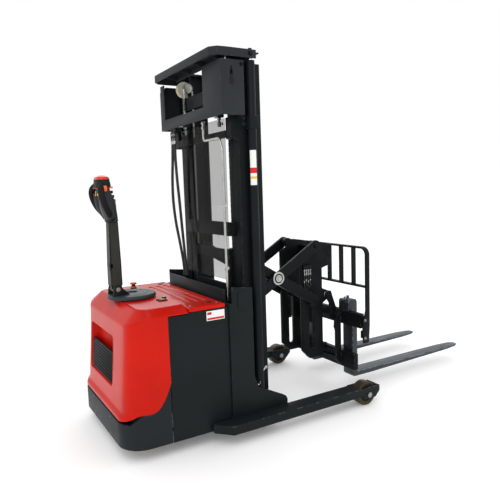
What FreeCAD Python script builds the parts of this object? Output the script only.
"""Electric pedestrian reach stacker with a pantograph reach carriage.

Millimetres. +X points to the fork tips, +Y to the left of travel, +Z up.
The origin is on the floor, in the middle of the machine's length and width
with the forks reached out and lowered. One STEP file per sub-part.
"""
import FreeCAD, Part
import math
import os

V = FreeCAD.Vector
os.makedirs("parts", exist_ok=True)

# ---------------------------------------------------------------- driving dimensions
GAP = 5.0                    # between pieces that move past each other
RUN = 1.5                    # between a roller or slide pin and its track
FIT = 0.3                    # radial clearance of a pivot or rod in its bore

# body
BODY_REAR_X = -1374.0
BODY_HALF_W = 437.0
BODY_CORNER_R = 125.0
SKIRT_FOOT_Z = 72.0
SKIRT_PROUD = 54.0           # how far the skirt stands behind the cowl
SKIN_T = 8.0
DECK_Z = 788.0
DECK_BEVEL_IN = 72.0          # how far the sloped edge reaches in over the deck
DECK_BEVEL_SIDE = 32.0        # and down the sides
DECK_BEVEL_REAR = 76.0        # and down the rear
COWL_FLANGE_X = -1119.0      # where the red cowl's side meets the black side panel
LID_REAR_X = -1000.0
LID_FRONT_X = -787.0
LID_Z = 776.0
LID_T = 22.0

# straddle legs
LEG_HALF_OUT = 550.0
LEG_W = 104.0
LEG_Z0 = 72.0
LEG_H = 51.0
LEG_REAR_X = -894.0
WHEEL_BOX_X0 = 104.0
WHEEL_BOX_X1 = 242.0
WHEEL_BOX_W = 113.0
LOAD_AXLE_X = 154.0
LOAD_WHEEL_R = 75.0
LOAD_WHEEL_W = 70.0
LOAD_AXLE_R = 12.0

# drive and steering
STEER_X = -1161.0
DRIVE_WHEEL_R = 115.0
DRIVE_WHEEL_W = 75.0
CASTER_Y = 262.0
CASTER_X = -1190.0
CASTER_WHEEL_R = 62.0
CASTER_WHEEL_W = 50.0
CASTER_TRAIL = 32.0
FLOOR_PLATE_Z = 262.0
FLOOR_PLATE_T = 12.0
TILLER_PIVOT_X = -1252.0
TILLER_PIVOT_Z = 850.0
TILLER_DISC_R = 138.0
TILLER_ARM_TOP_Z = 1228.0

# mast
MAST_REAR_X = -635.0
MAST_DEPTH = 145.0
MAST_HALF_OUT = 385.0
MAST_FLANGE = 70.0
MAST_WEB_T = 16.0
MAST_FLANGE_T = 14.0
MAST_TOP_Z = 2064.0
MAST_FOOT_Z = 74.0
INNER_DEPTH = 125.0
INNER_FLANGE = 62.0
INNER_WEB_T = 12.0
INNER_FLANGE_T = 12.0
INNER_FOOT_Z = 84.0
CROWN_Z = 2127.0
CROWN_T = 8.0
CROWN_LIP = 45.0
CROWN_HALF_W = 430.0
CROWN_REAR_X = -802.0
CROWN_FRONT_X = -535.0
MAST_LIFT = 1350.0
CYL_X = -562.0
CYL_Y = 409.5                 # between the channel and the side plate
CYL_R = 24.0
CYL_ROD_R = 12.0
CYL_FOOT_Z = 195.0

# reach pantograph
PIVOT_X = -579.0             # rear upper pivot, on the lift carriage
PIVOT_Z = 1003.0
HALF_ARM = 355.7             # pivot to centre pin
ARM_ANGLE = 31.0             # below level, as drawn
ARM_ANGLE_MAX = 80.0         # fully drawn back
ARM_ANGLE_MIN = 28.0         # fully reached out
ARM_W = 68.0
ARM_T = 20.0
ARM_OUT_Y = 195.0            # outer face of the outer arms
ARM_GAP = 8.0
PIN_R = 16.0

# reach frame and fork carriage
PLATE_T = 22.0
REACH_PLATE_Y = 130.0        # outer face of the reach frame's side plates
TILT_X = 162.0
TILT_Z = 653.0
BAR_HALF = 385.0
BAR_X0 = 232.0
FORK_X0 = 268.0
FORK_T = 42.0
FORK_W = 100.0
FORK_Y = 221.0
FORK_TOP_Z = 116.0
FORK_LEN = 1064.0
FORK_TOP_BAR_Z = 548.0
BACKREST_TOP_Z = 992.0
BACKREST_HALF = 440.0

MIRROR = V(0, 1, 0)
ORIGIN = V(0, 0, 0)


# ---------------------------------------------------------------- helpers
def box(x0, x1, y0, y1, z0, z1):
    return Part.makeBox(x1 - x0, y1 - y0, z1 - z0, V(x0, y0, z0))


def rod(p, q, r):
    """Round bar of radius r from point p to point q."""
    p, q = V(*p), V(*q)
    return Part.makeCylinder(r, (q - p).Length, p, q - p)


def rod_y(x, z, y0, y1, r):
    return rod((x, y0, z), (x, y1, z), r)


def prism_y(points, y0, y1):
    """Plate with an outline in X and Z, standing from y0 to y1."""
    loop = [V(x, y0, z) for x, z in points]
    return Part.Face(Part.makePolygon(loop + loop[:1])).extrude(V(0, y1 - y0, 0))


def prism_z(points, z0, z1):
    loop = [V(x, y, z0) for x, y in points]
    return Part.Face(Part.makePolygon(loop + loop[:1])).extrude(V(0, 0, z1 - z0))


def fuse(shapes):
    first, rest = shapes[0], shapes[1:]
    return first.multiFuse(rest).removeSplitter() if rest else first


def cut(body, tools):
    return body.cut(tools)


def mirrored(shape):
    return shape.mirror(ORIGIN, MIRROR)


def both(shape):
    """The shape and its mirror image as separate solids."""
    return Part.makeCompound([shape, mirrored(shape)])


def turned(shape, x, z, degrees):
    """Turned about the cross axis through (x, z); positive lifts the +X side."""
    copy = shape.copy()
    copy.rotate(V(x, 0, z), V(0, -1, 0), degrees)
    return copy


def rounded_slab(x0, x1, half, r, z0, z1):
    """Slab whose two rear corners are rounded in plan."""
    a = Part.LineSegment(V(x1, -half, z0), V(x0 + r, -half, z0))
    b = Part.Arc(V(x0 + r, -half, z0),
                 V(x0 + r - r * math.sqrt(0.5), -half + r - r * math.sqrt(0.5), z0),
                 V(x0, -half + r, z0))
    c = Part.LineSegment(V(x0, -half + r, z0), V(x0, half - r, z0))
    d = Part.Arc(V(x0, half - r, z0),
                 V(x0 + r - r * math.sqrt(0.5), half - r + r * math.sqrt(0.5), z0),
                 V(x0 + r, half, z0))
    e = Part.LineSegment(V(x0 + r, half, z0), V(x1, half, z0))
    f = Part.LineSegment(V(x1, half, z0), V(x1, -half, z0))
    wire = Part.Wire([s.toShape() for s in (a, b, c, d, e, f)])
    return Part.Face(wire).extrude(V(0, 0, z1 - z0))


def slot_y(x, z0, z1, w, y0, y1):
    """Upright round-ended slot, as a tool to cut with."""
    r = w / 2
    return fuse([box(x - r, x + r, y0, y1, z0, z1),
                 rod_y(x, z0, y0, y1, r),
                 rod_y(x, z1, y0, y1, r)])


def tube_path(points, radii):
    """Straight runs joined by arcs tangent to them."""
    pts = [V(*p) for p in points]
    edges = []
    start = pts[0]
    for i in range(1, len(pts) - 1):
        back = (pts[i - 1] - pts[i]).normalize()
        ahead = (pts[i + 1] - pts[i]).normalize()
        turn = math.pi - back.getAngle(ahead)
        reach = radii[i - 1] * math.tan(turn / 2)
        t0, t1 = pts[i] + back * reach, pts[i] + ahead * reach
        bisector = (back + ahead).normalize()
        centre = pts[i] + bisector * (radii[i - 1] / math.cos(turn / 2))
        middle = centre - bisector * radii[i - 1]
        edges.append(Part.LineSegment(start, t0).toShape())
        edges.append(Part.Arc(t0, middle, t1).toShape())
        start = t1
    edges.append(Part.LineSegment(start, pts[-1]).toShape())
    return Part.Wire(edges)


def tube(points, r, radii=None):
    """Round hose or pipe along a route; each arc is as large as its runs allow."""
    pts = [V(*p) for p in points]
    if radii is None:
        radii = []
        for i in range(1, len(pts) - 1):
            back, ahead = pts[i - 1] - pts[i], pts[i + 1] - pts[i]
            turn = math.pi - back.getAngle(ahead)
            radii.append(0.45 * min(back.Length, ahead.Length) / math.tan(turn / 2))
    path = tube_path(points, radii)
    first = path.OrderedEdges[0]
    circle = Part.Circle(pts[0], first.tangentAt(first.FirstParameter), r)
    section = Part.Wire([circle.toShape()])
    solid = path.makePipeShell([section], True, False)
    print("tube r", r, "smallest arc", round(min(radii)), "length", round(path.Length),
          "volume ratio", round(solid.Volume / (math.pi * r * r * path.Length), 3))
    return solid


# ---------------------------------------------------------------- chassis
COWL_REAR_X = BODY_REAR_X + SKIRT_PROUD
TOWER_REAR_X = -765.0
TOWER_FRONT_X = -617.0
TOWER_TOP_Z = 856.0
SIDE_PLATE_T = 12.0
SIDE_PLATE_Y = LEG_HALF_OUT - LEG_W            # outer face, against the leg
STRUT_FRONT_X = -397.0
FLOOR_HALF_W = 400.0
BATTERY_WALL_X = -1000.0                        # wall between the drive and the battery
BATTERY_Z0 = 122.0
SILL_T = 12.0


def chassis_frame():
    """Mast tower, side plates and the cross member under the mast."""
    y1 = SIDE_PLATE_Y
    y0 = y1 - SIDE_PLATE_T
    step = 20.0
    side = prism_y([(TOWER_REAR_X, LEG_Z0), (TOWER_REAR_X, TOWER_TOP_Z - 90),
                    (TOWER_REAR_X + step, TOWER_TOP_Z - 90), (TOWER_REAR_X + step, TOWER_TOP_Z),
                    (TOWER_FRONT_X, TOWER_TOP_Z - 14), (TOWER_FRONT_X, 330),
                    (-590, 256), (-530, 231), (-424, 178), (-405, 165),
                    (STRUT_FRONT_X, 148), (STRUT_FRONT_X, LEG_Z0)], y0, y1)
    rear_plate = box(TOWER_REAR_X, TOWER_REAR_X + 10, -y0, y0, LEG_Z0, TOWER_TOP_Z - 18)
    notch = box(TOWER_REAR_X - 1, TOWER_REAR_X + 11, y0 - 45, y0 + 1, TOWER_TOP_Z - 90, TOWER_TOP_Z)
    rear_plate = cut(rear_plate, [notch, mirrored(notch)])
    cross = box(MAST_REAR_X - 60, MAST_REAR_X + MAST_DEPTH + 20, -y0, y0, LEG_Z0, LEG_Z0 + 90)
    mast_seats = []
    for s in (1, -1):
        x0, x1 = MAST_REAR_X, MAST_REAR_X + MAST_DEPTH
        ya, yb = sorted((s * (MAST_HALF_OUT - MAST_FLANGE), s * MAST_HALF_OUT))
        mast_seats.append(box(x0, x1, ya, yb, LEG_Z0, LEG_Z0 + 95))
    inner_seats = box(MAST_REAR_X - 1, MAST_REAR_X + MAST_DEPTH + 1, -318, 318,
                      INNER_FOOT_Z - GAP, LEG_Z0 + 95)
    cross = cut(cross, mast_seats + [inner_seats])
    gussets = []
    for s in (1, -1):
        ya, yb = sorted((s * MAST_HALF_OUT, s * y0))
        gussets.append(box(MAST_REAR_X - 20, MAST_REAR_X + 12, ya, yb, LEG_Z0, TOWER_TOP_Z - 40))
    return fuse([side, mirrored(side), rear_plate, cross] + gussets)


def rear_floor_frame():
    """Floor plate over the drive and casters, and the sill that carries the battery."""
    half = FLOOR_HALF_W
    floor = box(COWL_REAR_X + 70, BATTERY_WALL_X, -half, half, FLOOR_PLATE_Z,
                FLOOR_PLATE_Z + FLOOR_PLATE_T)
    drive_hole = rod((STEER_X, 0, FLOOR_PLATE_Z - 1), (STEER_X, 0, FLOOR_PLATE_Z + FLOOR_PLATE_T + 1),
                     DRIVE_WHEEL_R + 60)
    sill = box(BATTERY_WALL_X - SILL_T, TOWER_REAR_X, -half, half, BATTERY_Z0 - SILL_T, BATTERY_Z0)
    divider = box(BATTERY_WALL_X - SILL_T, BATTERY_WALL_X, -half, half, BATTERY_Z0,
                  FLOOR_PLATE_Z + FLOOR_PLATE_T)
    caster_x = CASTER_X + CASTER_TRAIL
    seats = [rod((caster_x, s * CASTER_Y, CASTER_TOP_Z), (caster_x, s * CASTER_Y, FLOOR_PLATE_Z), 38)
             for s in (1, -1)]
    return fuse([cut(floor, [drive_hole]), sill, divider] + seats)


def leg():
    """Left straddle leg: a flat box beam that ends in an open wheel box."""
    out, inn = LEG_HALF_OUT, LEG_HALF_OUT - LEG_W
    top = LEG_Z0 + LEG_H
    beam = prism_z([(LEG_REAR_X, inn), (LEG_REAR_X, inn + 20), (LEG_REAR_X + 78, out),
                    (WHEEL_BOX_X0 + 2, out), (WHEEL_BOX_X0 + 2, inn)], LEG_Z0, top)
    box_in = out - WHEEL_BOX_W
    wall = 12.0
    foot = 50.0
    cheek = prism_y([(WHEEL_BOX_X0, LEG_Z0), (WHEEL_BOX_X0, top), (WHEEL_BOX_X1, top),
                     (WHEEL_BOX_X1, LEG_Z0 + 14), (WHEEL_BOX_X1 - 34, foot),
                     (LOAD_AXLE_X - 34, foot), (WHEEL_BOX_X0, LEG_Z0 - 6)], out - wall, out)
    inner_cheek = cheek.copy()
    inner_cheek.translate(V(0, box_in + wall - out, 0))
    nose = box(WHEEL_BOX_X1 - wall, WHEEL_BOX_X1, box_in, out, LEG_Z0 + 14, top)
    heel_plate = box(WHEEL_BOX_X0 - 40, WHEEL_BOX_X0 + 6, box_in, inn + 1, LEG_Z0, top)
    axle_hole = rod_y(LOAD_AXLE_X, LOAD_WHEEL_R, box_in - 5, out + 5, LOAD_AXLE_R)
    wheel_room = rod_y(LOAD_AXLE_X, LOAD_WHEEL_R, box_in + wall, out - wall,
                       LOAD_WHEEL_R + GAP)
    solid = fuse([beam, cheek, inner_cheek, nose, heel_plate])
    return cut(solid, [axle_hole, wheel_room])


def wheel(x, r, y, width, bevel, bore_r):
    """Wheel standing on the floor, its edges bevelled, with a running bore."""
    half = width / 2
    rim = rod_y(x, r, y - half + bevel, y + half - bevel, r)
    sides = [Part.makeCone(r, r - bevel, bevel, V(x, y + s * (half - bevel), r), V(0, s, 0))
             for s in (1, -1)]
    return cut(fuse([rim] + sides), [rod_y(x, r, y - half - 1, y + half + 1, bore_r + FIT)])


def load_wheel():
    return wheel(LOAD_AXLE_X, LOAD_WHEEL_R, LEG_HALF_OUT - WHEEL_BOX_W / 2, LOAD_WHEEL_W, 4,
                 LOAD_AXLE_R)


def load_axle():
    y1 = LEG_HALF_OUT
    y0 = LEG_HALF_OUT - WHEEL_BOX_W
    pin = rod_y(LOAD_AXLE_X, LOAD_WHEEL_R, y0 - 6, y1 + 4, LOAD_AXLE_R)
    head = rod_y(LOAD_AXLE_X, LOAD_WHEEL_R, y1, y1 + 6, LOAD_AXLE_R + 5)
    nut = rod_y(LOAD_AXLE_X, LOAD_WHEEL_R, y0 - 8, y0, LOAD_AXLE_R + 5)
    return fuse([pin, head, nut])


# ---------------------------------------------------------------- body panels
COWL_FOOT_REAR_Z = 215.0
COWL_FOOT_CORNER_Z = 264.0
COWL_FOOT_SIDE_Z = 412.0
SKIRT_GAP = 10.0              # between the cowl's foot and the skirt's top edge
POCKET_Y0 = -150.0            # recess in the cowl's rear wall
POCKET_Y1 = 300.0
POCKET_Z0 = 335.0
POCKET_Z1 = 618.0
POCKET_DEEP = 30.0


def shell(x0, x1, half, r, z0, z1, t):
    """Open-ended skirt or cowl wall of thickness t with rounded rear corners."""
    outer = rounded_slab(x0, x1, half, r, z0, z1)
    inner = rounded_slab(x0 + t, x1 + 1, half - t, r - t, z0 - 1, z1 + 1)
    return cut(outer, [inner])


def above_plane(p, q, r, shift):
    """Large block above the sloping plane through three points, moved up by shift."""
    p, q, r = V(*p), V(*q), V(*r)
    up = (q - p).cross(r - p).normalize()
    if up.z < 0:
        up = -up
    along = (q - p).normalize()
    across = up.cross(along)
    reach = 1500.0
    corners = [p + up * shift + along * a + across * b
               for a, b in ((-reach, -reach), (reach, -reach), (reach, reach), (-reach, reach))]
    return Part.Face(Part.makePolygon(corners + corners[:1])).extrude(up * reach)


def cowl_solid(grow):
    """Solid outer form of the cowl with its sloped top edges, shrunk by -grow for its inside."""
    x0, x1, half = COWL_REAR_X, COWL_FLANGE_X, BODY_HALF_W
    form = rounded_slab(x0 - grow, x1, half + grow, BODY_CORNER_R + grow, 60, DECK_Z + grow)
    side_z, rear_z = DECK_Z - DECK_BEVEL_SIDE, DECK_Z - DECK_BEVEL_REAR
    side = above_plane((x1, half, side_z), (x0, half, side_z - 6),
                       (x1, half - DECK_BEVEL_IN, DECK_Z), grow)
    rear = above_plane((x0, 0, rear_z), (x0, half, rear_z), (x0 + DECK_BEVEL_IN, 0, DECK_Z), grow)
    inset = BODY_CORNER_R * (1 - math.sqrt(0.5))
    cx, cy, cz = x0 + inset, half - inset, (side_z + rear_z) / 2
    slope = DECK_BEVEL_IN * math.sqrt(0.5)
    corner = above_plane((cx, cy, cz), (cx + 50, cy + 50, cz), (cx + slope, cy - slope, DECK_Z), grow)
    return cut(form, [side, mirrored(side), rear, corner, mirrored(corner)])


def cowl_foot():
    """What lies under the cowl's swept lower edge, as a tool to cut with."""
    x0, x1 = BODY_REAR_X - 10, COWL_FLANGE_X + 10
    rear, a, b = COWL_REAR_X - 10, COWL_REAR_X + 40, COWL_FLANGE_X
    low = Part.BSplineCurve()
    low.interpolate([V(b - 112, -500, COWL_FOOT_CORNER_Z), V(b - 64, -500, COWL_FOOT_CORNER_Z + 30),
                     V(b - 28, -500, COWL_FOOT_CORNER_Z + 80), V(b, -500, COWL_FOOT_SIDE_Z)])
    edges = [Part.LineSegment(V(x0, -500, 0), V(x0, -500, COWL_FOOT_REAR_Z)).toShape(),
             Part.LineSegment(V(x0, -500, COWL_FOOT_REAR_Z),
                              V(rear, -500, COWL_FOOT_REAR_Z)).toShape(),
             Part.LineSegment(V(rear, -500, COWL_FOOT_REAR_Z),
                              V(a, -500, COWL_FOOT_CORNER_Z)).toShape(),
             Part.LineSegment(V(a, -500, COWL_FOOT_CORNER_Z),
                              V(b - 112, -500, COWL_FOOT_CORNER_Z)).toShape(),
             low.toShape(),
             Part.LineSegment(V(b, -500, COWL_FOOT_SIDE_Z), V(x1, -500, COWL_FOOT_SIDE_Z)).toShape(),
             Part.LineSegment(V(x1, -500, COWL_FOOT_SIDE_Z), V(x1, -500, 0)).toShape(),
             Part.LineSegment(V(x1, -500, 0), V(x0, -500, 0)).toShape()]
    return Part.Face(Part.Wire(edges)).extrude(V(0, 1000, 0))


def rear_cowl():
    """Red cowl: rear and side walls with a sloped upper edge, and the deck."""
    outer = cowl_solid(0)
    inner = cowl_solid(-SKIN_T)
    inner.translate(V(1, 0, 0))
    cover = cut(outer, [inner, cowl_foot()])
    deck = box(COWL_FLANGE_X - 1, LID_REAR_X - GAP, -BODY_HALF_W, BODY_HALF_W,
               LID_Z - LID_T, DECK_Z)
    side_z = DECK_Z - DECK_BEVEL_SIDE
    bevel = above_plane((COWL_FLANGE_X, BODY_HALF_W, side_z), (LID_REAR_X, BODY_HALF_W, side_z),
                        (COWL_FLANGE_X, BODY_HALF_W - DECK_BEVEL_IN, DECK_Z), 0)
    deck = cut(deck, [bevel, mirrored(bevel)])
    tray = cut(box(COWL_REAR_X, COWL_REAR_X + POCKET_DEEP + SKIN_T, POCKET_Y0 - SKIN_T,
                   POCKET_Y1 + SKIN_T, POCKET_Z0 - SKIN_T, POCKET_Z1 + SKIN_T),
               [box(COWL_REAR_X - 1, COWL_REAR_X + POCKET_DEEP, POCKET_Y0, POCKET_Y1,
                    POCKET_Z0, POCKET_Z1)])
    mouth = box(COWL_REAR_X - 1, COWL_REAR_X + SKIN_T + 1, POCKET_Y0, POCKET_Y1,
                POCKET_Z0, POCKET_Z1)
    solid = fuse([cut(cover, [mouth]), deck, tray])
    steer_hole = rod((STEER_X, 0, DECK_Z - 60), (STEER_X, 0, DECK_Z + 20), 95)
    return cut(solid, [steer_hole])


def rear_skirt():
    """Black skirt whose top edge follows the cowl's foot, with a ledge and a wall inside the cowl."""
    x1 = COWL_FLANGE_X - 2
    inset = SKIN_T + 2
    outer_r = BODY_CORNER_R + 12
    under = cowl_foot()
    under.translate(V(0, 0, -SKIRT_GAP))
    outer = shell(BODY_REAR_X, x1, BODY_HALF_W, outer_r, SKIRT_FOOT_Z, COWL_FOOT_SIDE_Z,
                  2 * SKIN_T).common(under)
    ledge_z = COWL_FOOT_REAR_Z - SKIRT_GAP
    back = shell(COWL_REAR_X + inset, x1, BODY_HALF_W - inset, BODY_CORNER_R - inset,
                 ledge_z - 2 * SKIN_T, COWL_FOOT_SIDE_Z, SKIN_T)
    back = cut(back, [box(COWL_REAR_X, COWL_REAR_X + 80, -BODY_HALF_W, BODY_HALF_W,
                          POCKET_Z0 - SKIN_T - GAP, COWL_FOOT_SIDE_Z + 1)])
    room = rounded_slab(COWL_REAR_X + inset + SKIN_T, x1 + 1, BODY_HALF_W - inset - SKIN_T,
                        BODY_CORNER_R - inset - SKIN_T, ledge_z - 2 * SKIN_T, ledge_z)
    ledge = rounded_slab(BODY_REAR_X + SKIN_T, x1, BODY_HALF_W - SKIN_T, outer_r - SKIN_T,
                         ledge_z - 2 * SKIN_T, ledge_z - SKIN_T)
    return fuse([outer, back, cut(ledge, [room])])


def side_panel():
    """Left battery side panel, from the cowl to the mast tower."""
    y1 = BODY_HALF_W
    panel = box(COWL_FLANGE_X + 1, TOWER_REAR_X - 3, y1 - SKIN_T, y1, SKIRT_FOOT_Z, LID_Z - LID_T - 3)
    shade = box(COWL_FLANGE_X + 1, TOWER_REAR_X - 3, y1 - 26, y1 - SKIN_T,
                SKIRT_FOOT_Z + 60, SKIRT_FOOT_Z + 72)
    return fuse([panel, shade])


def battery_cover():
    """Red lid over the battery, with a turned-down edge and pressed ribs."""
    half = BODY_HALF_W
    lid = box(LID_REAR_X, LID_FRONT_X, -half, half, LID_Z - LID_T, LID_Z)
    edges = [e for e in lid.Edges if e.BoundBox.ZMin > LID_Z - 1]
    lid = lid.makeFillet(8, edges)
    under = box(LID_REAR_X + 8, LID_FRONT_X - 8, -half + 8, half - 8, LID_Z - LID_T - 1, LID_Z - 8)
    lid = cut(lid, [under])
    ribs = []
    for i in range(3):
        x = LID_REAR_X + 48 + i * 48
        ribs.append(box(x, x + 22, -300, 300, LID_Z - 4, LID_Z + 1))
    knuckles = [rod_y(LID_REAR_X, LID_Z, y - 30, y + 30, GAP - FIT) for y in (-250, 0, 250)]
    return fuse([cut(lid, ribs)] + knuckles)


def battery():
    return box(BATTERY_WALL_X + 8, TOWER_REAR_X - 31, -330, 330, BATTERY_Z0, 700)


def deck_controls():
    """Charge gauge, key switch and emergency stop, standing on the deck."""
    z = DECK_Z
    gauge = box(-1080, -1032, -228, -172, z, z + 6)
    key = rod((-1022, -148, z), (-1022, -148, z + 12), 13)
    base = rod((-1062, 262, z), (-1062, 262, z + 16), 18)
    stem = rod((-1062, 262, z + 16), (-1062, 262, z + 26), 11)
    knob = rod((-1062, 262, z + 26), (-1062, 262, z + 40), 21)
    return Part.makeCompound([gauge, key, fuse([base, stem, knob])])


# ---------------------------------------------------------------- drive, casters, tiller
CASTER_TOP_Z = 168.0
FORK_CHEEK_T = 8.0
CASTER_AXLE_R = 7.0
DRIVE_AXLE_R = 20.0
COLUMN_R = 34.0


def drive_unit():
    """Vertical motor, gearbox and one-sided wheel hanger, turning with the tiller."""
    hub_z = DRIVE_WHEEL_R
    motor = rod((STEER_X, 0, 330), (STEER_X, 0, 600), 82)
    gearbox = rod((STEER_X, 0, 250), (STEER_X, 0, 330), 98)
    hanger = box(STEER_X - 55, STEER_X + 55, DRIVE_WHEEL_W / 2 + GAP, DRIVE_WHEEL_W / 2 + 45,
                 60, 262)
    axle = rod_y(STEER_X, hub_z, -DRIVE_WHEEL_W / 2 - 4, DRIVE_WHEEL_W / 2 + GAP + 2, DRIVE_AXLE_R)
    column = rod((STEER_X, 0, 600), (STEER_X, 0, DECK_Z + 8), COLUMN_R)
    return fuse([motor, gearbox, hanger, axle, column])


def drive_wheel():
    return wheel(STEER_X, DRIVE_WHEEL_R, 0, DRIVE_WHEEL_W, 5, DRIVE_AXLE_R)


def caster_fork():
    """Left caster's swivelling fork with its axle."""
    sx = CASTER_X + CASTER_TRAIL
    inside = CASTER_WHEEL_W / 2 + GAP
    y = CASTER_Y
    cheek = prism_y([(CASTER_X - 18, CASTER_WHEEL_R - 16), (CASTER_X + 18, CASTER_WHEEL_R - 16),
                     (sx + 30, CASTER_TOP_Z - GAP - 10), (sx + 30, CASTER_TOP_Z - GAP),
                     (sx - 46, CASTER_TOP_Z - GAP)], y + inside, y + inside + FORK_CHEEK_T)
    other = cheek.copy()
    other.translate(V(0, -2 * inside - FORK_CHEEK_T, 0))
    crown = box(sx - 42, sx + 28, y - inside - FORK_CHEEK_T, y + inside + FORK_CHEEK_T,
                CASTER_TOP_Z - GAP - 12, CASTER_TOP_Z - GAP)
    axle = rod_y(CASTER_X, CASTER_WHEEL_R, y - inside - FORK_CHEEK_T - 5,
                 y + inside + FORK_CHEEK_T + 5, CASTER_AXLE_R)
    spindle = rod((sx, y, CASTER_TOP_Z - GAP), (sx, y, CASTER_TOP_Z - 1), 20)
    return fuse([cheek, other, crown, axle, spindle])


def caster_wheel():
    return wheel(CASTER_X, CASTER_WHEEL_R, CASTER_Y, CASTER_WHEEL_W, 5, CASTER_AXLE_R)


TILLER_EAR_Y = 45.0
TILLER_EAR_T = 10.0
TILLER_PIN_R = 9.0


def tiller_base():
    """Domed disc over the steering column, with the two ears of the tiller pivot."""
    z = DECK_Z + GAP
    disc = Part.makeCone(TILLER_DISC_R, TILLER_DISC_R - 14, 16, V(STEER_X, 0, z))
    dome = Part.makeCone(TILLER_DISC_R - 14, 62, 14, V(STEER_X, 0, z + 16))
    block = box(TILLER_PIVOT_X - 34, STEER_X + 20, -TILLER_EAR_Y - TILLER_EAR_T,
                TILLER_EAR_Y + TILLER_EAR_T, z + 4, z + 22)
    solids = [disc, dome, block]
    for s in (1, -1):
        y0, y1 = sorted((s * TILLER_EAR_Y, s * (TILLER_EAR_Y + TILLER_EAR_T)))
        ear = prism_y([(TILLER_PIVOT_X - 30, z + 4), (TILLER_PIVOT_X - 20, TILLER_PIVOT_Z + 18),
                       (TILLER_PIVOT_X + 20, TILLER_PIVOT_Z + 18), (TILLER_PIVOT_X + 62, z + 20)],
                      y0, y1)
        solids.append(ear)
    base = fuse(solids)
    room = box(TILLER_PIVOT_X - 40, TILLER_PIVOT_X + 42, -TILLER_EAR_Y, TILLER_EAR_Y,
               z + 22, TILLER_PIVOT_Z + 40)
    pin = rod_y(TILLER_PIVOT_X, TILLER_PIVOT_Z, -TILLER_EAR_Y - TILLER_EAR_T - 3,
                TILLER_EAR_Y + TILLER_EAR_T + 3, TILLER_PIN_R)
    base = fuse([cut(base, [room]), pin])
    return cut(base, [rod((STEER_X, 0, z - 1), (STEER_X, 0, DECK_Z + 8), COLUMN_R + FIT)])


def loft(sections):
    """Solid through rectangles given as (z, x0, x1, half width)."""
    wires = []
    for z, x0, x1, h in sections:
        loop = [V(x0, -h, z), V(x1, -h, z), V(x1, h, z), V(x0, h, z)]
        wires.append(Part.makePolygon(loop + loop[:1]))
    return Part.makeLoft(wires, True, True)


def tiller_arm():
    """Tapered steering arm on its pivot tube."""
    x, z = TILLER_PIVOT_X, TILLER_PIVOT_Z
    arm = loft([(z + 18, x - 33, x + 34, 35), (TILLER_ARM_TOP_Z, x - 24, x + 30, 30)])
    hub = rod_y(x, z, -TILLER_EAR_Y + 2, TILLER_EAR_Y - 2, 24)
    neck = box(x - 24, x + 24, -30, 30, z, z + 22)
    arm = fuse([arm, hub, neck])
    return cut(arm, [rod_y(x, z, -TILLER_EAR_Y - 1, TILLER_EAR_Y + 1, TILLER_PIN_R + FIT)])


def tiller_head():
    """Head housing with a grip loop to each side."""
    x, z0 = TILLER_PIVOT_X, TILLER_ARM_TOP_Z
    housing = loft([(z0, x - 34, x + 36, 38), (z0 + 118, x - 62, x + 22, 52),
                    (z0 + 220, x - 74, x - 8, 58)])
    cap = loft([(z0 + 220, x - 74, x - 8, 58), (z0 + 255, x - 58, x - 20, 40)])
    loops = []
    for s in (1, -1):
        route = [(x - 8, s * 30, z0 + 30), (x - 40, s * 96, z0 + 66), (x - 74, s * 128, z0 + 126),
                 (x - 84, s * 116, z0 + 188), (x - 56, s * 46, z0 + 210)]
        loops.append(tube(route, 13))
    return fuse([housing, cap] + loops)


# ---------------------------------------------------------------- mast
MAST_FRONT_X = MAST_REAR_X + MAST_DEPTH
MAST_MID_X = MAST_REAR_X + MAST_DEPTH / 2
INNER_OUT_Y = MAST_HALF_OUT - MAST_FLANGE - 6.0
INNER_X0 = MAST_MID_X - INNER_DEPTH / 2
INNER_X1 = MAST_MID_X + INNER_DEPTH / 2
CROWN_UNDER_Z = CROWN_Z - CROWN_T
TIE_T = 14.0
INNER_TIE_X = INNER_X0 - 23.0                   # front of the inner ties, behind the carriage
OUTER_TIE_X = INNER_TIE_X - TIE_T - 6.0         # front of the outer ties, behind the inner ones
BRACKET_X = -755.0
BRACKET_T = 8.0
BRACKET_Z0 = 1780.0
BRACKET_Z1 = 2066.0


def channel(x0, x1, y_web, width, web_t, flange_t, z0, z1):
    """Upright channel, its web at +Y and open towards the middle."""
    outer = box(x0, x1, y_web - width, y_web, z0, z1)
    room = box(x0 + flange_t, x1 - flange_t, y_web - width - 1, y_web - web_t, z0 - 1, z1 + 1)
    return cut(outer, [room])


def outer_mast():
    """Two fixed channels, tied at the foot, behind the screen and at the top."""
    rail = channel(MAST_REAR_X, MAST_FRONT_X, MAST_HALF_OUT, MAST_FLANGE, MAST_WEB_T,
                   MAST_FLANGE_T, MAST_FOOT_Z, MAST_TOP_Z)
    ties = []
    for z0, z1 in ((300, 360), (1660, 1776)):
        block = box(OUTER_TIE_X - TIE_T, MAST_REAR_X, MAST_HALF_OUT - 60, MAST_HALF_OUT, z0, z1)
        ties += [block, mirrored(block)]
        ties.append(box(OUTER_TIE_X - TIE_T, OUTER_TIE_X, -MAST_HALF_OUT, MAST_HALF_OUT,
                        z0 + 10, z0 + 50))
    return fuse([rail, mirrored(rail)] + ties)


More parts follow.
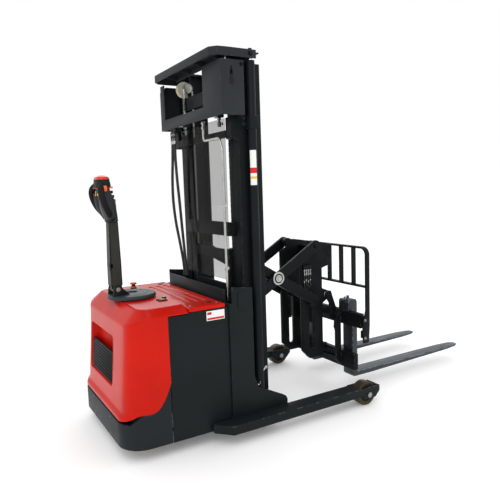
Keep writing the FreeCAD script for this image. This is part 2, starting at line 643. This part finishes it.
def mast_head_bracket():
    """Folded plate round the back and sides of the mast's head, with its spacers."""
    half = CROWN_HALF_W - 3
    x1 = -614.0
    t = BRACKET_T
    back = box(BRACKET_X, BRACKET_X + t, -half, half, BRACKET_Z0, BRACKET_Z1)
    window = box(BRACKET_X - 1, BRACKET_X + t + 1, -205, 362, BRACKET_Z0 + 66, BRACKET_Z1 + 1)
    back = cut(back, [window])
    wings = []
    for s in (1, -1):
        y0, y1 = sorted((s * half, s * (half - t)))
        wings.append(box(BRACKET_X, x1, y0, y1, BRACKET_Z0, BRACKET_Z1))
        ya, yb = sorted((s * MAST_HALF_OUT, s * (half - t)))
        wings.append(box(MAST_REAR_X, MAST_REAR_X + 21, ya, yb, BRACKET_Z0, BRACKET_Z0 + 70))
        wings.append(box(MAST_REAR_X, MAST_REAR_X + 21, ya, yb, BRACKET_Z1 - 60, BRACKET_Z1 - 20))
    solid = fuse([back] + wings)
    corner = prism_y([(BRACKET_X - 1, BRACKET_Z1 + 1), (BRACKET_X - 1, BRACKET_Z1 - 40),
                      (BRACKET_X + 40, BRACKET_Z1 + 1)], half - t - 1, half + 1)
    key = slot_y(-690, 1990, 2030, 18, -half - 1, -half + t + 1)
    return cut(solid, [corner, key])


def lift_cylinder_barrel():
    """Left lift cylinder's barrel, with its foot, its gland and its clamp to the channel."""
    top = CROWN_Z - CROWN_LIP - 2 * GAP
    barrel = rod((CYL_X, CYL_Y, CYL_FOOT_Z), (CYL_X, CYL_Y, top), CYL_R)
    bore = rod((CYL_X, CYL_Y, CYL_FOOT_Z + 30), (CYL_X, CYL_Y, top - 30), CYL_R - 5)
    gland = rod((CYL_X, CYL_Y, top - 40), (CYL_X, CYL_Y, top + 1), CYL_ROD_R + FIT)
    foot = box(CYL_X - 28, CYL_X + 28, MAST_HALF_OUT, SIDE_PLATE_Y - SIDE_PLATE_T,
               CYL_FOOT_Z - 26, CYL_FOOT_Z)
    band = box(CYL_X - CYL_R - 6, CYL_X + CYL_R + 6, MAST_HALF_OUT, CYL_Y + CYL_R + 4, 1712, 1780)
    solid = fuse([barrel, foot, band])
    return cut(solid, [bore, gland])


def lift_rod():
    top = CROWN_UNDER_Z
    low = CROWN_Z - CROWN_LIP - 2 * GAP - MAST_LIFT - 60
    shaft = rod((CYL_X, CYL_Y, low), (CYL_X, CYL_Y, top), CYL_ROD_R)
    piston = rod((CYL_X, CYL_Y, low - 20), (CYL_X, CYL_Y, low), CYL_R - 5 - FIT)
    return fuse([shaft, piston])


def mast_guard():
    """Clear screen between the operator and the mast."""
    return box(-692, -687, -330, 255, 872, BRACKET_Z0 - 6)


def roller(x, z, y0, y1, r, shaft_y0, shaft_r):
    return fuse([rod_y(x, z, y0, y1, r), rod_y(x, z, shaft_y0, y1, shaft_r)])


def inner_mast():
    """Two sliding channels with rollers that run in the outer channels."""
    rail = channel(INNER_X0, INNER_X1, INNER_OUT_Y, INNER_FLANGE, INNER_WEB_T,
                   INNER_FLANGE_T, INNER_FOOT_Z, CROWN_UNDER_Z)
    r = (MAST_DEPTH - 2 * MAST_FLANGE_T) / 2 - RUN
    y1 = MAST_HALF_OUT - MAST_WEB_T - 6
    rollers = [roller(MAST_MID_X, z, y1 - 40, y1, r, INNER_OUT_Y - 2, 22) for z in (150, 520)]
    side = fuse([rail] + rollers)
    inside = INNER_OUT_Y - INNER_WEB_T
    ties = []
    for z0, z1 in ((170, 240), (1120, 1200), (1890, 1970)):
        ties.append(box(INNER_TIE_X - TIE_T, INNER_TIE_X, -INNER_OUT_Y + 10, INNER_OUT_Y - 10, z0, z1))
        gusset = box(INNER_TIE_X - 2, INNER_X0 + 2, inside - 12, inside + 2, z0, z1)
        ties += [gusset, mirrored(gusset)]
    return fuse([side, mirrored(side)] + ties)


def mast_crown():
    """Folded crown over the mast: open at the front so that the carriage can pass."""
    half = CROWN_HALF_W
    plan = [(CROWN_FRONT_X, half), (CROWN_REAR_X + 84, half), (CROWN_REAR_X + 34, half - 6),
            (CROWN_REAR_X, half - 44)]
    ring = plan + [(x, -y) for x, y in reversed(plan)]
    outer = prism_z(ring, CROWN_Z - CROWN_LIP, CROWN_Z)
    t = CROWN_T
    small = [(CROWN_FRONT_X + 1, half - t), (CROWN_REAR_X + 86, half - t),
             (CROWN_REAR_X + 38, half - 6 - t), (CROWN_REAR_X + t, half - 48)]
    hollow = prism_z(small + [(x, -y) for x, y in reversed(small)], CROWN_Z - CROWN_LIP - 1,
                     CROWN_UNDER_Z)
    passage = box(CROWN_REAR_X + 130, CROWN_FRONT_X + 1, -INNER_OUT_Y + INNER_FLANGE + GAP,
                  INNER_OUT_Y - INNER_FLANGE - GAP, CROWN_Z - CROWN_LIP - 2, CROWN_Z + 1)
    shape = cut(outer, [hollow, passage])
    caps = []
    for s in (1, -1):
        y0, y1 = sorted((s * (INNER_OUT_Y - INNER_FLANGE), s * (MAST_HALF_OUT)))
        caps.append(box(CROWN_FRONT_X - 2, MAST_FRONT_X, y0, y1, CROWN_UNDER_Z, CROWN_Z))
    nuts = [rod((CYL_X, s * CYL_Y, CROWN_Z), (CYL_X, s * CYL_Y, CROWN_Z + 10), 11) for s in (1, -1)]
    return fuse([shape] + caps + nuts)


CHAIN_Y = INNER_OUT_Y - INNER_FLANGE - 11.0     # chains run between carriage and inner mast
CHAIN_W = 12.0
CHAIN_T = 8.0
CHAIN_FRONT_X = INNER_X0 + 13.0
PULLEY_R = 30.0
PULLEY_X = CHAIN_FRONT_X - PULLEY_R
CHAIN_REAR_X = PULLEY_X - PULLEY_R
PULLEY_Z = 2030.0
HOSE_PULLEY_R = 51.0


def mast_pulleys():
    """Two chain pulleys and the larger hose pulley at the inner mast's head."""
    solids = []
    inside = INNER_OUT_Y - INNER_FLANGE
    for s in (1, -1):
        y0, y1 = sorted((s * (CHAIN_Y - CHAIN_W / 2), s * (CHAIN_Y + CHAIN_W / 2)))
        sheave = rod_y(PULLEY_X, PULLEY_Z, y0, y1, PULLEY_R - CHAIN_T / 2 - FIT)
        yc, yd = sorted((s * (inside + 1), s * (inside + 9)))
        cheek = box(PULLEY_X - 22, INNER_X0, yc, yd, PULLEY_Z - 30, PULLEY_Z + 30)
        ya, yb = sorted((s * (CHAIN_Y - CHAIN_W / 2), s * (inside + 2)))
        solids.append(fuse([sheave, cheek, rod_y(PULLEY_X, PULLEY_Z, ya, yb, 9)]))
    hose = rod_y(PULLEY_X - 4, PULLEY_Z, inside + 20, inside + 48, HOSE_PULLEY_R)
    room = box(INNER_X0 - 1, INNER_X1, inside, INNER_OUT_Y + 1, PULLEY_Z - 60, PULLEY_Z + 60)
    pin = rod_y(PULLEY_X - 4, PULLEY_Z, inside + 8, inside + 52, 9)
    solids[0] = fuse([solids[0], cut(hose, [room]), pin])
    return Part.makeCompound(solids)


# ---------------------------------------------------------------- reach carriage
COS_REST = math.cos(math.radians(ARM_ANGLE))
SIN_REST = math.sin(math.radians(ARM_ANGLE))
SPAN = 2 * HALF_ARM * COS_REST
DROP = 2 * HALF_ARM * SIN_REST
CENTRE_X = PIVOT_X + SPAN / 2
CENTRE_Z = PIVOT_Z - DROP / 2
FRONT_X = PIVOT_X + SPAN                        # front upper pivot, on the reach frame
LOW_Z = PIVOT_Z - DROP                          # sliding ends, as drawn
SLOT_TOP = PIVOT_Z - 2 * HALF_ARM * math.sin(math.radians(ARM_ANGLE_MIN)) + 4
SLOT_LOW = PIVOT_Z - 2 * HALF_ARM * math.sin(math.radians(ARM_ANGLE_MAX)) - 4
SLIDE_R = 18.0
ARM_IN_Y = ARM_OUT_Y - ARM_T                    # inner face of the outer arms
INNER_ARM_OUT = ARM_IN_Y - ARM_GAP
INNER_ARM_IN = INNER_ARM_OUT - ARM_T
CARRIAGE_Y0 = ARM_OUT_Y + 12.0
CARRIAGE_T = 18.0
CARRIAGE_FOOT = SLOT_LOW - SLIDE_R - 22
RAM_EYE = 130.0                                 # along the inner arm from its pivot
RAM_FOOT = (-600.0, 450.0)
RAM_TIE_R = 12.0
RAM_EYE_SLACK = 24.0                            # radius of the rod's eye hole
WASHER_R = 42.0
CHAIN_LOW_Z = 640.0


def flat_arm(x0, z0, x1, z1, y0, y1, w):
    """Round-ended flat arm between two points."""
    length = math.hypot(x1 - x0, z1 - z0)
    bar = fuse([box(x0, x0 + length, y0, y1, z0 - w / 2, z0 + w / 2),
                rod_y(x0, z0, y0, y1, w / 2),
                rod_y(x0 + length, z0, y0, y1, w / 2)])
    return turned(bar, x0, z0, math.degrees(math.atan2(z1 - z0, x1 - x0)))


def ram_eye_point():
    return (PIVOT_X + RAM_EYE * COS_REST, PIVOT_Z - RAM_EYE * SIN_REST)


def lift_carriage():
    """Side plates with rollers, cross tube and cross plates that carry the pantograph."""
    y0, y1 = CARRIAGE_Y0, CARRIAGE_Y0 + CARRIAGE_T
    x0, x1 = PIVOT_X - 62, PIVOT_X + 52
    plate = box(x0, x1, y0, y1, CARRIAGE_FOOT, PIVOT_Z + 36)
    track = slot_y(PIVOT_X, SLOT_LOW, SLOT_TOP, 2 * (SLIDE_R + RUN), y0 - 1, y1 + 1)
    r = (INNER_DEPTH - 2 * INNER_FLANGE_T) / 2 - RUN
    web_y = INNER_OUT_Y - INNER_WEB_T
    rollers = [roller(MAST_MID_X, z, web_y - 44, web_y - 5, r, y1 - 2, 20) for z in (310, 690)]
    side = fuse([cut(plate, [track])] + rollers)
    tube_top = rod_y(PIVOT_X, PIVOT_Z, -y0 - 2, y0 + 2, PIN_R)
    backs = [box(x0, x0 + 14, -y0 - 2, y0 + 2, z, z + h)
             for z, h in ((CARRIAGE_FOOT, 60), (420, 60), (760, 70), (PIVOT_Z - 30, 62))]
    lugs = [box(x0, RAM_FOOT[0] + 18, s * 34 - 6, s * 34 + 6, 428, 472) for s in (1, -1)]
    pin = rod_y(RAM_FOOT[0], RAM_FOOT[1], -42, 42, 12)
    anchor = box(CHAIN_FRONT_X - 8, CHAIN_FRONT_X + 8, y1 - 2, CHAIN_Y + CHAIN_W / 2,
                 CHAIN_LOW_Z - 40, CHAIN_LOW_Z)
    return fuse([side, mirrored(side), tube_top, pin, anchor, mirrored(anchor)] + backs + lugs)


def inner_arms():
    """Inner pair: pivoted at the carriage, sliding in the reach frame."""
    y0, y1 = INNER_ARM_IN, INNER_ARM_OUT
    arm = flat_arm(PIVOT_X, PIVOT_Z, FRONT_X, LOW_Z, y0, y1, ARM_W)
    bore = rod_y(PIVOT_X, PIVOT_Z, y0 - 1, y1 + 1, PIN_R + FIT)
    slide = rod_y(FRONT_X, LOW_Z, REACH_PLATE_Y - PLATE_T - 4, y0 + 2, SLIDE_R)
    centre = rod_y(CENTRE_X, CENTRE_Z, y0, ARM_OUT_Y + 6, PIN_R)
    washer = rod_y(CENTRE_X, CENTRE_Z, ARM_OUT_Y + FIT, ARM_OUT_Y + 6, WASHER_R)
    left = fuse([cut(arm, [bore]), slide, centre, washer])
    ex, ez = ram_eye_point()
    tie = rod_y(ex, ez, -y0 - 2, y0 + 2, RAM_TIE_R)
    return fuse([left, mirrored(left), tie])


def outer_arms():
    """Outer pair: sliding in the carriage, pivoted at the reach frame."""
    y0, y1 = ARM_IN_Y, ARM_OUT_Y
    arm = flat_arm(PIVOT_X, LOW_Z, FRONT_X, PIVOT_Z, y0, y1, ARM_W)
    bores = [rod_y(FRONT_X, PIVOT_Z, y0 - 1, y1 + 1, PIN_R + FIT),
             rod_y(CENTRE_X, CENTRE_Z, y0 - 1, y1 + 1, PIN_R + FIT)]
    slide = rod_y(PIVOT_X, LOW_Z, y1 - 2, CARRIAGE_Y0 + CARRIAGE_T - GAP - 2, SLIDE_R)
    return both(fuse([cut(arm, bores), slide]))


REACH_X0 = FRONT_X - 78.0
REACH_X1 = FRONT_X + 68.0
REACH_FOOT_Z = 228.0
TILT_PIN_R = 14.0


def reach_frame():
    """Two slotted side plates with ears for the outer arms and lugs for the tilt pin."""
    y0, y1 = REACH_PLATE_Y - PLATE_T, REACH_PLATE_Y
    plate = prism_y([(REACH_X0, REACH_FOOT_Z + 60), (REACH_X0, PIVOT_Z - 50),
                     (FRONT_X - 26, PIVOT_Z - 34), (FRONT_X - 26, PIVOT_Z + 30),
                     (REACH_X1 + 40, PIVOT_Z + 8), (REACH_X1 + 110, PIVOT_Z - 8),
                     (REACH_X1 + 110, PIVOT_Z - 142),
                     (REACH_X1 + 26, PIVOT_Z - 166), (REACH_X1 + 26, REACH_FOOT_Z),
                     (REACH_X0 + 60, REACH_FOOT_Z)], y0, y1)
    track = slot_y(FRONT_X, SLOT_LOW, SLOT_TOP, 2 * (SLIDE_R + RUN), y0 - 1, y1 + 1)
    pin = rod_y(FRONT_X, PIVOT_Z, y1 - 2, ARM_OUT_Y + 6, PIN_R)
    boss = rod_y(FRONT_X, PIVOT_Z, y1 - 2, INNER_ARM_OUT + 4, PIN_R + 14)
    lug = prism_y([(REACH_X1 + 10, TILT_Z - 70), (REACH_X1 + 10, TILT_Z + 52), (TILT_X, TILT_Z + 30),
                   (TILT_X + 22, TILT_Z + 22), (TILT_X + 28, TILT_Z - 4), (TILT_X + 10, TILT_Z - 30)],
                  y0, y1)
    side = fuse([cut(plate, [track]), pin, boss, lug])
    reach = y1 + GAP + HANGER_T + 6
    tilt_pin = rod_y(TILT_X, TILT_Z, -reach, reach, TILT_PIN_R)
    return fuse([side, mirrored(side), tilt_pin])


def reach_cross_members():
    """Three plates across the reach frame; the middle one carries the tilt ram's foot."""
    half = REACH_PLATE_Y - PLATE_T
    x0, x1 = REACH_X1 + 12, REACH_X1 + 26
    foot_x, foot_z = TILT_RAM_FOOT
    low = box(x0, x1, -half, half, REACH_FOOT_Z, REACH_FOOT_Z + 70)
    middle = box(x0, x1, -half, half, foot_z - 60, foot_z + 60)
    top = box(x0, x1, -half, half, PIVOT_Z - 150, PIVOT_Z - 20)
    lugs = [box(x0, foot_x + 16, s * 30 - 6, s * 30 + 6, foot_z - 20, foot_z + 20) for s in (1, -1)]
    pin = rod_y(foot_x, foot_z, -38, 38, 10)
    return Part.makeCompound([low, fuse([middle, pin] + lugs), top])


TILT_RAM_FOOT = (150.0, 500.0)
TILT_RAM_EYE = (200.0, 262.0)
HANGER_T = 18.0
BAR_T = 34.0
BAR_H = 96.0
LOW_BAR_Z0 = 152.0
LOW_BAR_Z1 = 262.0
STILE_Y = 172.0
STILE_T = 20.0


def fork_carriage():
    """Upper and lower fork bars joined by C-shaped stiles, hung from the tilt pin."""
    bars = [box(BAR_X0, BAR_X0 + BAR_T, -BAR_HALF, BAR_HALF, FORK_TOP_BAR_Z - BAR_H, FORK_TOP_BAR_Z),
            box(BAR_X0, BAR_X0 + BAR_T, -BAR_HALF + 60, BAR_HALF - 60, LOW_BAR_Z0, LOW_BAR_Z1)]
    arms = []
    for s in (1, -1):
        ya, yb = sorted((s * STILE_Y, s * (STILE_Y + STILE_T)))
        arms.append(prism_y([(BAR_X0 + 2, FORK_TOP_BAR_Z - 20), (190, FORK_TOP_BAR_Z - 36),
                             (182, 430), (192, 400), (192, 200), (BAR_X0 + 2, LOW_BAR_Z0)], ya, yb))
        yc, yd = sorted((s * (REACH_PLATE_Y + GAP), s * (REACH_PLATE_Y + GAP + HANGER_T)))
        hanger = prism_y([(TILT_X - 24, TILT_Z - 8), (TILT_X - 14, TILT_Z + 24),
                          (TILT_X + 22, TILT_Z + 24), (TILT_X + 40, TILT_Z - 30),
                          (BAR_X0 + 2, FORK_TOP_BAR_Z - 10), (BAR_X0 + 2, FORK_TOP_BAR_Z - 80),
                          (182, FORK_TOP_BAR_Z - 70), (172, TILT_Z - 60)], yc, yd)
        arms.append(cut(hanger, [rod_y(TILT_X, TILT_Z, yc - 1, yd + 1, TILT_PIN_R + FIT)]))
        ye, yf = sorted((s * (REACH_PLATE_Y + GAP + 2), s * (STILE_Y + 2)))
        arms.append(box(192, BAR_X0 + 2, ye, yf, FORK_TOP_BAR_Z - 60, FORK_TOP_BAR_Z - 30))
    eyes = [box(TILT_RAM_EYE[0] - 16, BAR_X0 + 2, s * 30 - 6, s * 30 + 6,
                TILT_RAM_EYE[1] - 20, TILT_RAM_EYE[1] + 20) for s in (1, -1)]
    pin = rod_y(TILT_RAM_EYE[0], TILT_RAM_EYE[1], -38, 38, 10)
    rear_rail = box(205, BAR_X0 + 2, -STILE_Y - 2, STILE_Y + 2, LOW_BAR_Z0 + 20, LOW_BAR_Z0 + 60)
    return fuse(bars + arms + eyes + [pin, rear_rail])


def arch(x0, x1, half, r, z0, z1):
    """Slab across the machine whose two upper corners are rounded."""
    k = r * (1 - math.sqrt(0.5))
    edges = [Part.LineSegment(V(x0, -half, z0), V(x0, -half, z1 - r)),
             Part.Arc(V(x0, -half, z1 - r), V(x0, -half + k, z1 - k), V(x0, -half + r, z1)),
             Part.LineSegment(V(x0, -half + r, z1), V(x0, half - r, z1)),
             Part.Arc(V(x0, half - r, z1), V(x0, half - k, z1 - k), V(x0, half, z1 - r)),
             Part.LineSegment(V(x0, half, z1 - r), V(x0, half, z0)),
             Part.LineSegment(V(x0, half, z0), V(x0, -half, z0))]
    return Part.Face(Part.Wire([e.toShape() for e in edges])).extrude(V(x1 - x0, 0, 0))


BACKREST_R = 52.0
BACKREST_T = 12.0


def load_backrest():
    """Guard frame: rounded top rail, middle rail, two posts and six bars."""
    x0, x1 = BAR_X0 + 2, BAR_X0 + BAR_T
    top, mid = BACKREST_TOP_Z, 728.0
    half = BACKREST_HALF
    t = BACKREST_T
    frame = cut(arch(x0, x1, half, BACKREST_R, mid, top),
                [arch(x0 - 1, x1 + 1, half - t, BACKREST_R - t, mid - 1, top - t)])
    rail = box(x0, x1, -half + t - 2, half - t + 2, mid, mid + t)
    bars = [box(x0, x1, s * y - t / 2, s * y + t / 2, mid + 2, top - t + 2)
            for s in (1, -1) for y in (60, 183, 306)]
    posts = []
    for s in (1, -1):
        ya, yb = sorted((s * (half - t), s * half))
        posts.append(prism_y([(x0, mid + 1), (x1, mid + 1), (x1, 490), (x1 - 8, 368),
                              (x0 - 22, 368), (x0 - 26, 490), (x0, 580)], ya, yb))
        yc, yd = sorted((s * BAR_HALF, s * (half - t + 2)))
        for z in (FORK_TOP_BAR_Z - BAR_H + 28, 390):
            posts.append(box(x0, x1 - 10, yc, yd, z, z + 50))
    return fuse([frame, rail] + bars + posts)


def fork(y):
    """L-shaped fork with a tapered blade and a hook over the upper bar."""
    x0, x1 = FORK_X0, FORK_X0 + FORK_T
    blade_t = 32.0
    heel_z = FORK_TOP_Z - blade_t
    tip_x = x1 + FORK_LEN
    side = prism_y([(x0, heel_z + 12), (x0 + 12, heel_z), (x1 + 120, heel_z), (tip_x, FORK_TOP_Z - 12),
                    (tip_x, FORK_TOP_Z), (x1 + 8, FORK_TOP_Z), (x1, FORK_TOP_Z + 8),
                    (x1, FORK_TOP_BAR_Z + 56), (x1 - 10, FORK_TOP_BAR_Z + 74),
                    (x0 - 26, FORK_TOP_BAR_Z + 74), (x0 - 36, FORK_TOP_BAR_Z + 60),
                    (x0 - 36, FORK_TOP_BAR_Z), (x0, FORK_TOP_BAR_Z)],
                   y - FORK_W / 2, y + FORK_W / 2)
    tip = []
    for s in (1, -1):
        tip.append(prism_z([(tip_x - 150, y + s * FORK_W / 2), (tip_x - 40, y + s * 40),
                            (tip_x, y + s * 20), (tip_x + 2, y + s * 60), (tip_x - 150, y + s * 60)],
                           heel_z - 5, FORK_TOP_Z + 5))
    latch = rod((x0 + 2, y, FORK_TOP_BAR_Z + 70), (x0 + 2, y, FORK_TOP_BAR_Z + 96), 10)
    return fuse([cut(side, tip), latch])


# ---------------------------------------------------------------- rams
def ram_barrel(foot, eye, y_half, length, r):
    """Barrel along the line from foot to eye, with its foot ring."""
    direction = V(eye[0] - foot[0], 0, eye[1] - foot[1]).normalize()
    p = V(foot[0], 0, foot[1])
    a, b = p + direction * 16, p + direction * length
    body = rod((a.x, 0, a.z), (b.x, 0, b.z), r)
    ring = rod_y(foot[0], foot[1], -y_half, y_half, 20)
    return fuse([body, ring]), direction, p


def ram_parts(foot, eye, y_half, length, tail_at, r, rod_r, pin_r, eye_hole):
    """Barrel and rod of a ram; the rod's eye keeps clear of its pin."""
    barrel, direction, p = ram_barrel(foot, eye, y_half, length, r)
    q = V(eye[0], 0, eye[1])
    bore_a, bore_b = p + direction * 40, p + direction * (length + 1)
    barrel = cut(barrel, [rod_y(foot[0], foot[1], -y_half - 1, y_half + 1, pin_r + FIT),
                          rod((bore_a.x, 0, bore_a.z), (bore_b.x, 0, bore_b.z), rod_r + FIT)])
    tail, neck = p + direction * tail_at, q - direction * (eye_hole + 4)
    shaft = rod((tail.x, 0, tail.z), (neck.x, 0, neck.z), rod_r)
    ring = rod_y(eye[0], eye[1], -y_half, y_half, eye_hole + 8)
    piece = cut(fuse([shaft, ring]), [rod_y(eye[0], eye[1], -y_half - 1, y_half + 1, eye_hole)])
    return barrel, piece


# ---------------------------------------------------------------- chains, hoses, pipes
def chain_strand(x, z0, z1):
    return box(x - CHAIN_T / 2, x + CHAIN_T / 2, CHAIN_Y - CHAIN_W / 2, CHAIN_Y + CHAIN_W / 2, z0, z1)


def lift_chains():
    """Front strands, from the pulleys down to the carriage's anchors."""
    return both(chain_strand(CHAIN_FRONT_X, CHAIN_LOW_Z + FIT, PULLEY_Z))


def chain_anchors():
    """Rear strands and their anchor posts on the head bracket."""
    strand = chain_strand(CHAIN_REAR_X, 1846, PULLEY_Z)
    post = rod((CHAIN_REAR_X, CHAIN_Y, 1800), (CHAIN_REAR_X, CHAIN_Y, 1846), 5)
    block = box(BRACKET_X + BRACKET_T, CHAIN_REAR_X + 5, CHAIN_Y - 14, CHAIN_Y + 14, 1790, 1806)
    return both(fuse([strand, post, block]))


def hydraulic_hoses():
    """Two slack hoses from the tower's top edge up to the fittings under the head bracket."""
    first = [(-742, 186, 850), (-744, 194, 936), (-746, 226, 1040), (-748, 282, 1190),
             (-749, 306, 1330), (-750, 299, 1460), (-751, 274, 1590), (-751, 262, 1700)]
    second = [(-738, 158, 850), (-741, 166, 940), (-745, 186, 1130), (-748, 203, 1320),
              (-750, 221, 1460), (-751, 231, 1600), (-751, 226, 1700)]
    ends = []
    for y in (262, 226):
        ends.append(rod((-751, y, 1700), (-751, y, 1752), 12))
        ends.append(rod((-751, y, 1752), (-751, y, BRACKET_Z0), 8))
    hoses = [fuse([tube(route, 9)] + ends[2 * i:2 * i + 2]) for i, route in enumerate((first, second))]
    return Part.makeCompound(hoses)


def hydraulic_pipes():
    """Steel pipe from the fitting under the head bracket down to the tower."""
    x = -722.0
    route = [(x, -128, BRACKET_Z0), (x, -128, 1668), (x, -322, 1668), (x, -352, 1600), (x, -352, 760)]
    main = tube(route, 7, [22, 34, 60])
    return main


def save(node, shape):
    shape.exportStep("parts/" + node + ".step")


def main():
    save("chassis_frame", chassis_frame())
    save("rear_floor_frame", rear_floor_frame())
    left_leg = leg()
    save("leg_left", left_leg)
    save("leg_right", mirrored(left_leg))
    left_wheel = load_wheel()
    save("load_wheel_left", left_wheel)
    save("load_wheel_right", mirrored(left_wheel))
    save("load_wheel_axles", both(load_axle()))
    save("rear_cowl", rear_cowl())
    save("rear_skirt", rear_skirt())
    panel = side_panel()
    save("side_panel_left", panel)
    save("side_panel_right", mirrored(panel))
    save("battery_cover", battery_cover())
    save("battery", battery())
    save("deck_controls", deck_controls())
    save("drive_unit", drive_unit())
    save("drive_wheel", drive_wheel())
    save("tiller_base", tiller_base())
    save("tiller_arm", tiller_arm())
    save("tiller_head", tiller_head())
    for name, make in (("caster_fork", caster_fork), ("caster_wheel", caster_wheel)):
        shape = make()
        save(name + "_left", shape)
        save(name + "_right", mirrored(shape))
    save("outer_mast", outer_mast())
    save("mast_head_bracket", mast_head_bracket())
    save("lift_cylinder_barrels", both(lift_cylinder_barrel()))
    save("lift_rods", both(lift_rod()))
    save("mast_guard", mast_guard())
    save("inner_mast", inner_mast())
    save("mast_crown", mast_crown())
    save("mast_pulleys", mast_pulleys())
    save("lift_chains", lift_chains())
    save("chain_anchors", chain_anchors())
    save("hydraulic_hoses", hydraulic_hoses())
    save("hydraulic_pipe", hydraulic_pipes())
    save("lift_carriage", lift_carriage())
    save("scissor_inner_arms", inner_arms())
    save("scissor_outer_arms", outer_arms())
    save("reach_frame", reach_frame())
    save("reach_cross_members", reach_cross_members())
    save("fork_carriage", fork_carriage())
    save("load_backrest", load_backrest())
    save("fork_left", fork(FORK_Y))
    save("fork_right", fork(-FORK_Y))
    barrel, piece = ram_parts(RAM_FOOT, ram_eye_point(), 22, 380, 130, 25, 13, 12,
                              RAM_EYE_SLACK)
    save("reach_cylinder_barrel", barrel)
    save("reach_cylinder_rod", piece)
    barrel, piece = ram_parts(TILT_RAM_FOOT, TILT_RAM_EYE, 18, 170, 60, 20, 11, 10, 13)
    save("tilt_cylinder_barrel", barrel)
    save("tilt_cylinder_rod", piece)


main()
